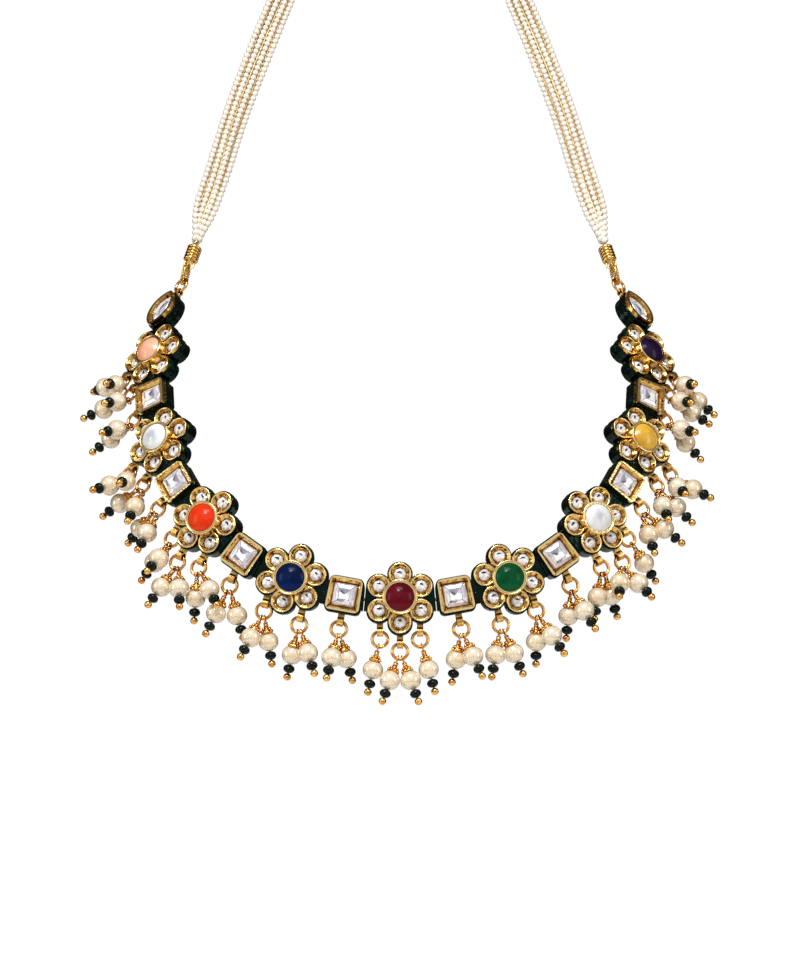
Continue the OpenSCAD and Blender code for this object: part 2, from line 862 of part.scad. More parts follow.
module clasp() {
  r = clasp_d / 2;
  color("Gold")
    translate([0, 0, r])
      rotate([0, 90, 0])
        difference() {
          union() {
            cylinder(h = clasp_len - 2 * clasp_collar, r = r, center = true);
            for (end = [-1, 1])
              translate([0, 0, end * (clasp_len - clasp_collar) / 2])
                cylinder(h = clasp_collar, r = r - clasp_collar_step, center = true);
          }
          for (end = [-1, 1])
            translate([0, 0, end * (clasp_len - cup_depth + over) / 2])
              cylinder(h = cup_depth + over, r = cup_r, center = true);
          for (end = [-1, 1])
            translate([0, 0, end * clasp_groove_at])
              difference() {
                cylinder(h = clasp_groove, r = r + over, center = true);
                cylinder(h = clasp_groove + over, r = r - clasp_groove, center = true);
              }
        }
}

module plain_ring_left() plain_ring(-1);
module plain_ring_right() plain_ring(1);
module granulated_ring_left() granulated_ring(-1);
module granulated_ring_right() granulated_ring(1);
module coil_cap_left() coil_cap(-1);
module coil_cap_right() coil_cap(1);
module pearl_strands_left() pearl_strands(-1);
module pearl_strands_right() pearl_strands(1);

link_flower_1();
link_flower_2();
link_flower_3();
link_flower_4();
link_flower_5();
link_flower_6();
link_flower_7();
link_flower_8();
link_flower_9();
link_square_1();
link_square_2();
link_square_3();
link_square_4();
link_square_5();
link_square_6();
link_square_7();
link_square_8();
link_end_left();
link_end_right();
cabochon_pink();
cabochon_pearl_left();
cabochon_coral();
cabochon_blue();
cabochon_ruby();
cabochon_green();
cabochon_pearl_right();
cabochon_yellow();
cabochon_purple();
square_stone_1();
square_stone_2();
square_stone_3();
square_stone_4();
square_stone_5();
square_stone_6();
square_stone_7();
square_stone_8();
end_stone_left();
end_stone_right();
petal_stones();
stringing_wire();
jump_rings();
drop_pins();
drop_pearls();
drop_green_beads();
plain_ring_left();
plain_ring_right();
granulated_ring_left();
granulated_ring_right();
coil_cap_left();
coil_cap_right();
pearl_strands_left();
pearl_strands_right();
clasp();
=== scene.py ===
import math
import random

import bmesh
import bpy
from mathutils import Matrix, Vector


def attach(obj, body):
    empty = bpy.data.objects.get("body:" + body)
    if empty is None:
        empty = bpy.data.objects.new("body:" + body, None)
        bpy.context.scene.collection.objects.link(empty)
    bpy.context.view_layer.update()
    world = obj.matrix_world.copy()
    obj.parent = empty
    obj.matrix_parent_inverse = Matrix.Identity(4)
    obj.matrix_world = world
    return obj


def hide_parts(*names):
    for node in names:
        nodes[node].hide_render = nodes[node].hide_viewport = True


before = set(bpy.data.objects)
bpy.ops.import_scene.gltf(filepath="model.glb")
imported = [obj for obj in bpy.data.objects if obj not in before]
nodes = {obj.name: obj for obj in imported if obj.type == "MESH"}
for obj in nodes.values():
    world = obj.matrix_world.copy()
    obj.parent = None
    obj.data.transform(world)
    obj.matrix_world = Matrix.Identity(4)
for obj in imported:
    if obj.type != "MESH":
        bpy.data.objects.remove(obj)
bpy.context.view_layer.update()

# The studio
# A white tent lights the necklace, brightest in front, with a small gap for the camera, and
# soft panels add the highlights. The camera stands one metre in front of the middle flower.
scene = bpy.context.scene
scene.view_settings.view_transform = "Standard"

# The origin is the clasp's seat at the nape. These lengths lead from it to the middle flower.
nape_behind = 0.139386
nape_above = 0.181124

lens = bpy.data.cameras.new("studio_camera")
lens.sensor_fit = "HORIZONTAL"
lens.sensor_width = 36
lens.lens = 180
lens.clip_start = 0.05
lens.clip_end = 20
camera = bpy.data.objects.new("studio_camera", lens)
camera.location = (0, -1 - nape_behind, 0.03 - nape_above)
camera.rotation_euler = (math.radians(90), 0, 0)
scene.collection.objects.link(camera)
scene.camera = camera


def panel(name, place, width, height, power, colour):
    light = bpy.data.lights.new(name, "AREA")
    light.shape = "RECTANGLE"
    light.size = width
    light.size_y = height
    light.energy = power
    light.color = colour
    made = bpy.data.objects.new(name, light)
    made.location = place
    aim = Vector((0, -nape_behind, -nape_above + 0.02)) - Vector(place)
    made.rotation_euler = aim.to_track_quat("-Z", "Y").to_euler()
    scene.collection.objects.link(made)


panel("key_panel", (-0.05, -0.54, 0.69), 0.5, 0.28, 4.0, (1.0, 0.98, 0.95))
panel("spark_panel", (-0.12, -0.66, 0.52), 0.16, 0.1, 3.0, (1.0, 0.99, 0.97))
panel("right_panel", (0.85, -0.55, 0.05), 0.3, 0.6, 1.6, (1.0, 0.97, 0.93))
panel("left_panel", (-0.9, -0.45, 0.0), 0.3, 0.6, 1.6, (1.0, 0.97, 0.93))
panel("low_panel", (0.05, -0.6, -0.75), 0.5, 0.2, 0.8, (1.0, 0.93, 0.84))

world = bpy.data.worlds.new("white_tent")
scene.world = world
world.use_nodes = True
room = world.node_tree
room.nodes.clear()
room_out = room.nodes.new("ShaderNodeOutputWorld")
seen = room.nodes.new("ShaderNodeBackground")
seen.inputs["Color"].default_value = (1, 1, 1, 1)
seen.inputs["Strength"].default_value = 1.02
lit = room.nodes.new("ShaderNodeBackground")
path = room.nodes.new("ShaderNodeLightPath")
pick = room.nodes.new("ShaderNodeMixShader")
way = room.nodes.new("ShaderNodeTexCoord")
parted = room.nodes.new("ShaderNodeSeparateXYZ")
room.links.new(way.outputs["Generated"], parted.inputs[0])
low_to_high = (
    (0.1, (0.34, 0.21, 0.10)),
    (0.42, (0.58, 0.48, 0.36)),
    (0.6, (1, 1, 1)),
)
back_to_front = (
    (0.36, (0.12, 0.08, 0.05)),
    (0.56, (0.60, 0.57, 0.53)),
    (0.72, (0.84, 0.84, 0.85)),
    (0.86, (1.12, 1.12, 1.12)),
    (0.990, (1.12, 1.12, 1.12)),
    (0.9965, (0.22, 0.21, 0.22)),
)
shades = []
for axis, scale, stops in (("Z", 0.5, low_to_high), ("Y", -0.5, back_to_front)):
    share = room.nodes.new("ShaderNodeMath")
    share.operation = "MULTIPLY_ADD"
    share.inputs[1].default_value = scale
    share.inputs[2].default_value = 0.5
    room.links.new(parted.outputs[axis], share.inputs[0])
    shade = room.nodes.new("ShaderNodeValToRGB")
    ramp = shade.color_ramp.elements
    ramp[0].position, ramp[0].color = stops[0][0], (*stops[0][1], 1)
    ramp[1].position, ramp[1].color = stops[-1][0], (*stops[-1][1], 1)
    for place, colour in stops[1:-1]:
        ramp.new(place).color = (*colour, 1)
    room.links.new(share.outputs[0], shade.inputs[0])
    shades.append(shade)
both = room.nodes.new("ShaderNodeVectorMath")
both.operation = "MULTIPLY"
room.links.new(shades[0].outputs["Color"], both.inputs[0])
room.links.new(shades[1].outputs["Color"], both.inputs[1])
lit.inputs["Strength"].default_value = 0.62
room.links.new(both.outputs[0], lit.inputs["Color"])
room.links.new(path.outputs["Is Camera Ray"], pick.inputs[0])
room.links.new(lit.outputs[0], pick.inputs[1])
room.links.new(seen.outputs[0], pick.inputs[2])
room.links.new(pick.outputs[0], room_out.inputs["Surface"])

floor_shape = bmesh.new()
bmesh.ops.create_circle(floor_shape, cap_ends=True, segments=96, radius=0.42)
bmesh.ops.translate(floor_shape, vec=(0, -0.05, -0.34), verts=floor_shape.verts)
floor_mesh = bpy.data.meshes.new("floor")
floor_shape.to_mesh(floor_mesh)
floor_shape.free()
floor = bpy.data.objects.new("floor", floor_mesh)
scene.collection.objects.link(floor)
floor_paint = bpy.data.materials.new("floor_paint")
floor_paint.use_nodes = True
floor_paint.node_tree.nodes["Principled BSDF"].inputs["Base Color"].default_value = (0.93, 0.93, 0.92, 1)
floor_paint.node_tree.nodes["Principled BSDF"].inputs["Roughness"].default_value = 0.9
floor_mesh.materials.append(floor_paint)

# The line of the chain
# Nineteen links run on one wire. Each row is a link from the middle outwards: how its wire
# climbs, how far it turns back and how its face rolls. The left side mirrors the right.
mm = 0.001
link_rows = [
    (0, 0, -10),
    (10, 4, -9),
    (21, 10, -6),
    (35, 18, -2),
    (46, 26, 4),
    (59, 32, 13),
    (73, 34, 23),
    (85, 35, 31),
    (94, 37, 38),
    (104, 40, 46),
]
petal_at = 6.1
petal_case_r = 3.2
square_case_half = 4.2 + 0.35
joint_half = 0.43
flower_half = petal_at * math.cos(math.radians(30)) + petal_case_r + joint_half
square_half = square_case_half + joint_half
leaf_half = 6.4
front_depth = 3.2


def heading(climb, back):
    climb, back = math.radians(climb), math.radians(back)
    return Vector((math.cos(back) * math.cos(climb), math.sin(back), math.cos(back) * math.sin(climb)))


def along(i):
    return heading(*link_rows[i][:2])


def outward(i):
    line = along(i)
    facing = (Vector((0, -1, 0)) + line.y * line).normalized()
    roll = math.radians(link_rows[i][2])
    return math.cos(roll) * facing - math.sin(roll) * facing.cross(line)


def half_length(i):
    return leaf_half if i == 9 else square_half if i % 2 else flower_half


def middle(i):
    if i == 0:
        return Vector((0, front_depth, 0))
    return middle(i - 1) + half_length(i - 1) * along(i - 1) + half_length(i) * along(i)


def to_row(point, side):
    return Vector((side * point.x, point.y, point.z)) * mm - Vector((0, nape_behind, nape_above))


def link_place(i, side, turn=0):
    line = along(i)
    out = outward(i)
    across = out.cross(line)
    columns = (
        Vector((line.x, side * line.y, side * line.z)),
        Vector((side * across.x, across.y, across.z)),
        Vector((side * out.x, out.y, out.z)),
    )
    turned = Matrix(columns).transposed() @ Matrix.Rotation(math.radians(side * turn), 3, "Z")
    return Matrix.LocRotScale(to_row(middle(i), side), turned.to_quaternion(), None)


# Gold
# High carat yellow gold, cast or drawn and then polished by hand, so its surface waves a
# little. A red brown painted shade darkens it in the corners and recesses.
def add(tree, kind, *values, **settings):
    made = tree.nodes.new("ShaderNode" + kind)
    for name, value in settings.items():
        setattr(made, name, value)
    for socket, value in values:
        if isinstance(value, bpy.types.NodeSocket):
            tree.links.new(value, made.inputs[socket])
        else:
            made.inputs[socket].default_value = value
    return made


def sum_up(tree, operation, *values, clamp=False):
    made = tree.nodes.new("ShaderNodeMath")
    made.operation = operation
    made.use_clamp = clamp
    for k, value in enumerate(values):
        if isinstance(value, bpy.types.NodeSocket):
            tree.links.new(value, made.inputs[k])
        else:
            made.inputs[k].default_value = value
    return made.outputs[0]


def blend_colours(tree, share, low, high):
    made = tree.nodes.new("ShaderNodeMix")
    made.data_type = "RGBA"
    for socket, value in ((0, share), (6, low), (7, high)):
        if isinstance(value, bpy.types.NodeSocket):
            tree.links.new(value, made.inputs[socket])
        elif isinstance(value, tuple):
            made.inputs[socket].default_value = (*value, 1)
        else:
            made.inputs[socket].default_value = value
    return made.outputs[2]


def fade(tree, value, start, end):
    made = add(tree, "ValToRGB", ("Fac", value))
    made.color_ramp.elements[0].position = start
    made.color_ramp.elements[1].position = end
    return made.outputs[0]


def new_finish(name):
    finish = bpy.data.materials.new(name)
    finish.use_nodes = True
    return finish, finish.node_tree, finish.node_tree.nodes["Principled BSDF"]


yellow_gold = ((0.72, 0.39, 0.075), (0.97, 0.66, 0.22), (0.26, 0.09, 0.012))
orange_gold = ((0.72, 0.27, 0.035), (1.0, 0.62, 0.20), (0.28, 0.07, 0.006))
# Pale gold for the painted highlight on the lips of the bezels.
lip_highlight_gold = (1.0, 0.80, 0.38)
# Dark brown for the painted reflection streaks on the sloping walls of the bezels.
reflection_brown = (0.07, 0.022, 0.003)


def gold_colour(tree, point, shades=yellow_gold):
    patches = add(tree, "TexNoise", ("Vector", point), ("Scale", 900), ("Detail", 3))
    share = fade(tree, patches.outputs[0], 0.36, 0.6)
    mixed = blend_colours(tree, share, shades[0], shades[1])
    # Painted shade: ambient occlusion mixes in the red brown shade where the gold lies in corners and
    # recesses.
    open_sky = add(tree, "AmbientOcclusion", ("Distance", 0.001), samples=6)
    shade_share = sum_up(tree, "POWER", open_sky.outputs["AO"], 1.7)
    return blend_colours(tree, shade_share, shades[2], mixed), patches.outputs[0]


def gold_bump(tree, point, strength):
    waves = add(tree, "TexNoise", ("Vector", point), ("Scale", 1700), ("Detail", 2))
    return add(tree, "Bump", ("Strength", strength), ("Distance", 0.00012), ("Height", waves.outputs[0]))


def polished_gold(name, roughness=0.16, bump=0.25, shades=yellow_gold):
    finish, tree, metal = new_finish(name)
    point = add(tree, "TexCoord").outputs["Object"]
    colour, patches = gold_colour(tree, point, shades)
    tree.links.new(colour, metal.inputs["Base Color"])
    metal.inputs["Metallic"].default_value = 1
    tree.links.new(sum_up(tree, "MULTIPLY_ADD", patches, 0.12, roughness - 0.06), metal.inputs["Roughness"])
    tree.links.new(gold_bump(tree, point, bump).outputs[0], metal.inputs["Normal"])
    return finish


def dress(name, finish):
    mesh = nodes[name].data
    mesh.materials.clear()
    mesh.materials.append(finish)


ring_gold = polished_gold("ring_gold", 0.12, 0.2, orange_gold)
for name in (
    "jump_rings",
    "plain_ring_left",
    "plain_ring_right",
    "stringing_wire",
    "clasp",
):
    dress(name, ring_gold)


# The cases of the links
# Each link is a soldered gold case. Its two stepped tiers are coated with bottle green
# enamel, almost black, with green and blue patches that are partly uneven tone and partly
# painted glints, and the bezels and bails are left gold.
def link_point(tree, i, side, turn=0):
    place = link_place(i, side, turn)
    point = add(tree, "TexCoord").outputs["Object"]
    made = add(
        tree,
        "Mapping",
        ("Vector", point),
        ("Location", place.to_translation()),
        ("Rotation", place.to_euler("XYZ")),
        ("Scale", (mm, mm, mm)),
        vector_type="TEXTURE",
    )
    parts = add(tree, "SeparateXYZ", ("Vector", made.outputs[0]))
    return point, made.outputs[0], parts.outputs[0], parts.outputs[1], parts.outputs[2]


def times(tree, a, b):
    return sum_up(tree, "MULTIPLY", a, b)


def above(tree, value, limit):
    return sum_up(tree, "GREATER_THAN", value, limit)


def below(tree, value, limit):
    return sum_up(tree, "LESS_THAN", value, limit)


def larger(tree, a, b):
    return sum_up(tree, "MAXIMUM", a, b)


def unsigned(tree, value):
    return sum_up(tree, "ABSOLUTE", value)


def from_middle(tree, a, b):
    return sum_up(tree, "SQRT", sum_up(tree, "ADD", times(tree, a, a), times(tree, b, b)))


def band(tree, value, low, high):
    return times(tree, above(tree, value, low), below(tree, value, high))


tier_top = 2.23
bed_floor = 1.5


# All limits are in millimetres: z is the height on the link, r the distance from its middle,
# and d the distance from the middle of the nearest petal.
def flower_gold(tree, x, y, z):
    r = from_middle(tree, x, y)
    angle = sum_up(tree, "ARCTAN2", x, y)
    sixth = math.pi / 3
    folded = sum_up(tree, "WRAP", angle, sixth / 2, -sixth / 2)
    px = times(tree, r, sum_up(tree, "SINE", folded))
    py = sum_up(tree, "SUBTRACT", times(tree, r, sum_up(tree, "COSINE", folded)), petal_at)
    d = from_middle(tree, px, py)
    rim = above(tree, z, tier_top)
    bed = times(tree, below(tree, d, 2.6), above(tree, z, bed_floor))
    hub = times(tree, below(tree, r, 5.9), above(tree, z, 2.1))
    low_rim = times(tree, below(tree, y, -3.2), above(tree, r, 6.2))
    bail = times(tree, above(tree, d, 3.24), low_rim)
    gold = larger(tree, larger(tree, rim, bed), larger(tree, hub, bail))
    # Painted highlight: the tops of the petal lips and the hub are marked to be painted pale.
    petal_lip_highlight = times(tree, band(tree, z, 2.95, 3.4), band(tree, d, 2.38, 3.0))
    lip_highlight = larger(tree, petal_lip_highlight, above(tree, z, 4.95))
    slope = times(tree, below(tree, d, 2.42), above(tree, r, 4.45))
    return gold, lip_highlight, slope, bail


def square_gold(tree, x, y, z):
    rim = above(tree, z, tier_top)
    ring = larger(tree, unsigned(tree, x), unsigned(tree, y))
    bed = times(tree, below(tree, ring, 3.9), above(tree, z, bed_floor))
    bail = below(tree, y, -4.68)
    gold = larger(tree, rim, larger(tree, bed, bail))
    lip_highlight = times(tree, above(tree, z, 3.28), above(tree, ring, 3.74))
    # On the square the painted reflection lies in thin lines along the inner edge of the bezel and at its
    # corners.
    fold = sum_up(tree, "SUBTRACT", unsigned(tree, x), unsigned(tree, y))
    corner = below(tree, unsigned(tree, fold), 0.2)
    line = larger(tree, band(tree, ring, 3.5, 3.76), corner)
    slope = times(tree, band(tree, ring, 2.95, 3.9), line)
    return gold, lip_highlight, slope, bail


def leaf_gold(tree, x, y, z, side):
    rim = above(tree, z, tier_top)
    slant = sum_up(tree, "ADD", times(tree, unsigned(tree, x), 0.55), unsigned(tree, y))
    inner = below(tree, slant, 3.3)
    bed = times(tree, inner, above(tree, z, bed_floor))
    tip = above(tree, times(tree, x, side), 5.8)
    gold = larger(tree, rim, larger(tree, bed, tip))
    lip_highlight = above(tree, z, 3.36)
    slope = times(tree, inner, below(tree, z, 3.3))
    return gold, lip_highlight, slope, tip


leaf_turn = 26
enamel_dark = (0.0004, 0.0026, 0.002)
enamel_green = (0.002, 0.08, 0.028)
enamel_blue = (0.001, 0.006, 0.03)
enamel_sheen = (0.30, 0.60, 0.45)


def enamelled_case(name, i, side):
    finish, tree, skin = new_finish(name + "_finish")
    point, local, x, y, z = link_point(tree, i, side, leaf_turn if i == 9 else 0)
    if i == 9:
        gold, lip_highlight, slope, bail = leaf_gold(tree, x, y, z, side)
    elif i % 2:
        gold, lip_highlight, slope, bail = square_gold(tree, x, y, z)
    else:
        gold, lip_highlight, slope, bail = flower_gold(tree, x, y, z)
    metal_colour, patches = gold_colour(tree, point)
    # Painted highlight: the lips are mixed towards a pale gold, standing in for light caught on their
    # rounded edges.
    metal_colour = blend_colours(tree, times(tree, lip_highlight, 0.75), metal_colour, lip_highlight_gold)
    # Painted reflection: dark brown streaks on the sloping bezel walls stand in for the dark surroundings
    # mirrored in them.
    reflection_noise = add(tree, "TexNoise", ("Vector", point), ("Scale", 1100), ("Detail", 2))
    reflection_streaks = times(tree, slope, fade(tree, reflection_noise.outputs[0], 0.5, 0.62))
    metal_colour = blend_colours(tree, reflection_streaks, metal_colour, reflection_brown)
    # Painted glints: random green and blue patches in the near black enamel stand partly for its uneven tone
    # and partly for glints of light.
    tone_and_glint_noise = add(tree, "TexNoise", ("Vector", local), ("Scale", 0.55), ("Detail", 2), ("Roughness", 0.6))
    tone_and_glint_share = fade(tree, tone_and_glint_noise.outputs[0], 0.55, 0.76)
    hues = add(tree, "TexNoise", ("Vector", local), ("Scale", 0.3))
    hue_share = fade(tree, hues.outputs[0], 0.42, 0.58)
    tint = blend_colours(tree, hue_share, enamel_green, enamel_blue)
    enamel = blend_colours(tree, tone_and_glint_share, enamel_dark, tint)
    tree.links.new(blend_colours(tree, gold, enamel, metal_colour), skin.inputs["Base Color"])
    tree.links.new(gold, skin.inputs["Metallic"])
    polish = sum_up(tree, "MULTIPLY_ADD", patches, 0.1, sum_up(tree, "MULTIPLY_ADD", gold, 0.07, 0.01))
    polish = sum_up(tree, "MULTIPLY_ADD", bail, 0.2, polish)
    tree.links.new(polish, skin.inputs["Roughness"])
    skin.inputs["Specular IOR Level"].default_value = 0.32
    sheen = blend_colours(tree, gold, enamel_sheen, (1.0, 1.0, 1.0))
    tree.links.new(sheen, skin.inputs["Specular Tint"])
    ribs = add(tree, "TexNoise", ("Vector", local), ("Scale", 1.1), ("Detail", 1))
    waves = add(tree, "TexNoise", ("Vector", point), ("Scale", 1700), ("Detail", 2))
    relief = add(tree, "Mix", (0, gold), (2, ribs.outputs[0]), (3, waves.outputs[0]), data_type="FLOAT")
    depth = sum_up(tree, "MULTIPLY_ADD", gold, -0.0003, 0.0005)
    bump = add(tree, "Bump", ("Strength", 0.35), ("Distance", depth), ("Height", relief.outputs[0]))
    tree.links.new(bump.outputs[0], skin.inputs["Normal"])
    dress(name, finish)


link_names = []
for k in range(1, 10):
    link_names.append((f"link_flower_{k}", abs(k - 5) * 2, -1 if k < 5 else 1))
for k in range(1, 9):
    link_names.append((f"link_square_{k}", 9 - 2 * k if k < 5 else 2 * k - 9, -1 if k < 5 else 1))
link_names.append(("link_end_left", 9, -1))
link_names.append(("link_end_right", 9, 1))
for name, i, side in link_names:
    enamelled_case(name, i, side)


# Petal stones
# Small rose cut glass stones over silver foil, one in the bed of each petal. Their colour is
# painted reflection: white where the foil throws light back, a dark spot in the middle of the cut, and grey
# flakes.
def pattern(shape, smooth=True):
    for face in shape.faces:
        face.smooth = smooth
    mesh = bpy.data.meshes.new("pattern")
    shape.to_mesh(mesh)
    shape.free()
    return mesh


def set_in_place(name, placed, finish):
    whole = bmesh.new()
    for mesh, place, tone in placed:
        one = mesh.copy()
        one.transform(place)
        if tone is not None:
            shade = one.attributes.new("shade", "FLOAT", "POINT")
            shade.data.foreach_set("value", [tone] * len(one.vertices))
        whole.from_mesh(one)
        bpy.data.meshes.remove(one)
    mesh = bpy.data.meshes.new(name)
    whole.to_mesh(mesh)
    whole.free()
    mesh.materials.append(finish)
    made = bpy.data.objects.new(name, mesh)
    scene.collection.objects.link(made)
    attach(made, "root")
    return made


def foiled_stone_finish():
    finish, tree, glass = new_finish("foiled_stone")
    cut = add(tree, "Attribute", attribute_name="cut").outputs["Vector"]
    where = add(tree, "TexCoord").outputs["Object"]
    wobble = add(tree, "TexNoise", ("Vector", where), ("Scale", 600), ("Detail", 1))
    shifted = add(
        tree, "VectorMath", (0, wobble.outputs["Color"]), (1, (0.5, 0.5, 0.5)), operation="SUBTRACT"
    )
    moved = add(
        tree, "VectorMath", (0, shifted.outputs[0]), (1, (0.9, 0.6, 0.5)), (2, cut), operation="MULTIPLY_ADD"
    )
    parts = add(tree, "SeparateXYZ", ("Vector", moved.outputs[0]))
    x, y = parts.outputs[0], parts.outputs[1]
    high = sum_up(tree, "SUBTRACT", y, 0.3)
    wide = times(tree, times(tree, x, x), 0.7)
    tall = times(tree, times(tree, high, high), 2.2)
    spot = sum_up(tree, "SQRT", sum_up(tree, "ADD", wide, tall))
    flakes = add(tree, "TexVoronoi", ("Vector", moved.outputs[0]), ("Scale", 2.2))
    ragged = sum_up(tree, "MULTIPLY_ADD", flakes.outputs["Distance"], 0.3, spot)
    # Painted reflection: the dark spot and the white round it are reflections painted into the colour.
    dark = add(tree, "ValToRGB", ("Fac", ragged))
    dark.color_ramp.elements[0].position = 0.34
    dark.color_ramp.elements[0].color = (0.012, 0.012, 0.016, 1)
    dark.color_ramp.elements[1].position = 0.5
    dark.color_ramp.elements[1].color = (0.98, 0.98, 1.0, 1)
    flake_tone = add(tree, "SeparateColor", ("Color", flakes.outputs["Color"])).outputs[0]
    grey_reflection_share = times(tree, fade(tree, flake_tone, 0.45, 0.95), 0.75)
    grey = blend_colours(tree, grey_reflection_share, dark.outputs[0], (0.30, 0.28, 0.32))
    tree.links.new(grey, glass.inputs["Base Color"])
    glass.inputs["Metallic"].default_value = 0.3
    glass.inputs["Roughness"].default_value = 0.08
    glass.inputs["IOR"].default_value = 1.6
    return finish


foiled_stone = foiled_stone_finish()

gem_r = 1.6
petal_floor = 1.82
gem = bmesh.new()
bmesh.ops.create_circle(gem, cap_ends=True, segments=8, radius=gem_r)
table = list(gem.faces)
for scale, rise in ((1.0, 0.45), (0.8, 0.3), (0.5, 0.2)):
    grown = bmesh.ops.extrude_face_region(gem, geom=table)
    bmesh.ops.delete(gem, geom=table, context="FACES_ONLY")
    top = [v for v in grown["geom"] if isinstance(v, bmesh.types.BMVert)]
    table = [f for f in grown["geom"] if isinstance(f, bmesh.types.BMFace)]
    now = max(v.co.xy.length for v in top)
    bmesh.ops.scale(gem, vec=(gem_r * scale / now, gem_r * scale / now, 1), verts=top)
    bmesh.ops.translate(gem, vec=(0, 0, rise), verts=top)
bmesh.ops.recalc_face_normals(gem, faces=gem.faces)
cut_layer = gem.verts.layers.float_vector.new("cut")
for v in gem.verts:
    v[cut_layer] = v.co / gem_r
gem_pattern = pattern(gem, smooth=False)
gem_places = []
for name, i, side in link_names[:9]:
    for k in range(6):
        angle = math.radians(60 * k)
        spot = Matrix.Translation((petal_at * math.sin(angle), petal_at * math.cos(angle), petal_floor))
        gem_places.append((gem_pattern, link_place(i, side) @ Matrix.Scale(mm, 4) @ spot, None))
petal_gems = set_in_place("petal_gems", gem_places, foiled_stone)
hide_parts("petal_stones")


# Square and end stones
# Table cut glass over foil. Its colour is painted reflection: the steps of the cut throw back
# white and lavender grey, and the upper half of the table shows a darker triangle.
def table_cut(name, i, side, half_w, half_h):
    finish, tree, glass = new_finish(name + "_finish")
    point, local, x, y, _ = link_point(tree, i, side, leaf_turn if i == 9 else 0)
    wobble = add(tree, "TexNoise", ("Vector", point), ("Scale", 420), ("Detail", 2))
    sway = add(tree, "SeparateColor", ("Color", wobble.outputs["Color"]))
    sway_x = sum_up(tree, "MULTIPLY_ADD", sway.outputs[0], 0.4, -0.2)
    sway_y = sum_up(tree, "MULTIPLY_ADD", sway.outputs[1], 0.4, -0.2)
    across = sum_up(tree, "ADD", sum_up(tree, "DIVIDE", x, half_w), sway_x)
    up = sum_up(tree, "ADD", sum_up(tree, "DIVIDE", y, half_h), sway_y)
    wide = unsigned(tree, across)
    tall = unsigned(tree, up)
    ring = larger(tree, wide, tall)
    flakes = add(tree, "TexVoronoi", ("Vector", local), ("Scale", 0.8), ("Randomness", 1.0))
    flake_tone = add(tree, "SeparateColor", ("Color", flakes.outputs["Color"])).outputs[0]
    # Painted reflection: the stepped rings, the dark wedge, the dark foot, the mitres and the grey flakes
    # stand in for light thrown back by the facets and foil.
    steps = add(tree, "ValToRGB", ("Fac", ring))
    steps.color_ramp.interpolation = "CONSTANT"
    ramp = steps.color_ramp.elements
    ramp[0].position = 0
    ramp[0].color = (0.98, 0.99, 1.0, 1)
    ramp[1].position = 0.46
    ramp[1].color = (0.30, 0.31, 0.36, 1)
    for place, colour in (
        (0.52, (0.90, 0.90, 0.95)),
        (0.7, (0.62, 0.60, 0.70)),
        (0.78, (0.95, 0.93, 0.96)),
        (0.95, (0.42, 0.32, 0.28)),
    ):
        ramp.new(place).color = (*colour, 1)
    wedge = sum_up(tree, "SUBTRACT", up, unsigned(tree, sum_up(tree, "ADD", across, 0.08)))
    in_wedge = times(tree, above(tree, wedge, -0.1), below(tree, ring, 0.46))
    in_wedge = times(tree, in_wedge, above(tree, up, 0))
    wedge_share = sum_up(tree, "MULTIPLY_ADD", across, 1.2, 0.5, clamp=True)
    reflected_wedge_tone = blend_colours(tree, wedge_share, (0.05, 0.05, 0.06), (0.30, 0.30, 0.38))
    inner = blend_colours(tree, in_wedge, steps.outputs[0], reflected_wedge_tone)
    foot = times(tree, band(tree, up, -0.68, -0.46), below(tree, wide, 0.56))
    foot = times(tree, foot, above(tree, flake_tone, 0.35))
    stepped = blend_colours(tree, foot, inner, (0.16, 0.16, 0.20))
    mitre = unsigned(tree, sum_up(tree, "SUBTRACT", wide, tall))
    seam = times(tree, below(tree, mitre, 0.06), above(tree, ring, 0.48))
    seamed = blend_colours(tree, times(tree, seam, 0.65), stepped, (0.22, 0.23, 0.27))
    grey_reflection_share = times(tree, above(tree, flake_tone, 0.62), 0.55)
    varied = blend_colours(tree, grey_reflection_share, seamed, (0.42, 0.42, 0.52))
    tree.links.new(varied, glass.inputs["Base Color"])
    glass.inputs["Metallic"].default_value = 0.25
    glass.inputs["Roughness"].default_value = 0.06
    glass.inputs["IOR"].default_value = 1.6
    dress(name, finish)


for k in range(1, 9):
    table_cut(f"square_stone_{k}", 9 - 2 * k if k < 5 else 2 * k - 9, -1 if k < 5 else 1, 2.9, 2.9)
table_cut("end_stone_left", 9, -1, 4.2, 2.5)
table_cut("end_stone_right", 9, 1, 4.2, 2.5)


